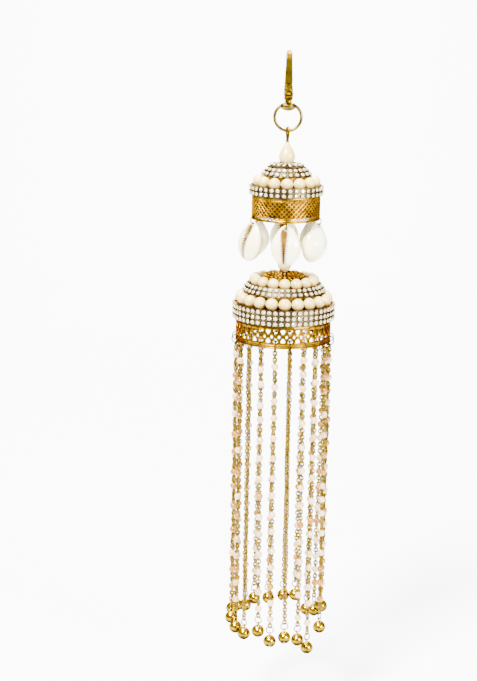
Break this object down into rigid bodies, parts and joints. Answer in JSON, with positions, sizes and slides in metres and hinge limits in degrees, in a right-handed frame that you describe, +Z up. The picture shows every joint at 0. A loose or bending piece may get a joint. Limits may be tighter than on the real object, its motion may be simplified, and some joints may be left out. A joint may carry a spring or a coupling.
{
  "type": "kalire bridal ornament",
  "caption": "Bridal ornament hung from a bangle by a swivel clasp: two domes of pearls and stones, a ring of cowries, and a fringe of chains with bells.",
  "frame": {"origin": "inside of the top of the hook's arch, where the bangle that it hangs from sits", "axes": "+Z up along the stem, -Y the front with the slotted cowrie, the bangle running along X"},
  "size_m": [0.0514, 0.0509, 0.2962],
  "materials": {
    "gold": "polished, gold plated",
    "antique_gold": "darkened gold plate",
    "pearl": "pearl lustre",
    "bead": "pearl lustre",
    "stone": "cut, foil backed",
    "shell": "glossy natural shell",
    "thread": "twisted"
  },
  "bodies": {
    "hook": {"clasp_hook": "antique_gold"},
    "lever": {"clasp_lever": "gold"},
    "swivel": {"swivel_ring": "antique_gold"},
    "pendant": {"drop_stem": "gold", "top_bead": "bead", "middle_bead": "bead", "upper_dome": "gold", "upper_crown_stones": "stone", "upper_pearls": "pearl", "upper_pearl_thread": "thread", "upper_rim_stones": "stone", "upper_band": "gold", "cowrie_1": "shell", "cowrie_2": "shell", "cowrie_3": "shell", "cowrie_4": "shell", "cowrie_5": "shell", "cowrie_6": "shell", "cowrie_rings": "gold", "lower_dome": "gold", "lower_cap": "gold", "lower_crown_pearls": "pearl", "lower_crown_thread": "thread", "lower_mid_stones": "stone", "lower_pearls": "pearl", "lower_pearl_thread": "thread", "lower_rim_stones": "stone", "lower_band": "gold", "strand_rings": "gold", "strand_01": "gold", "strand_02": "gold", "strand_03": "gold", "strand_04": "gold", "strand_05": "gold", "strand_06": "gold", "strand_07": "gold", "strand_08": "gold", "strand_09": "gold", "strand_10": "gold", "strand_11": "gold", "strand_12": "gold", "strand_13": "gold", "strand_14": "gold", "strand_15": "gold", "strand_16": "gold", "strand_17": "gold", "strand_18": "gold", "strand_19": "gold", "strand_20": "gold", "bell_rings": "gold", "bells": "antique_gold"}
  },
  "joints": [
    {"name": "lever_hinge", "type": "hinge", "parent": "hook", "child": "lever", "pos_m": [0, -0.0029, -0.0175], "axis": [-1, 0, 0], "range_deg": [0, 35], "stiffness_Nm_per_rad": 0.03, "springref_deg": -28.65},
    {"name": "ring_swivel", "type": "hinge", "parent": "hook", "child": "swivel", "pos_m": [0, 0, -0.0225], "axis": [0, 0, 1], "continuous": true},
    {"name": "pendant_swing", "type": "hinge", "parent": "swivel", "child": "pendant", "pos_m": [0, 0, -0.03595], "axis": [1, 0, 0], "range_deg": [-40, 40]}
  ]
}
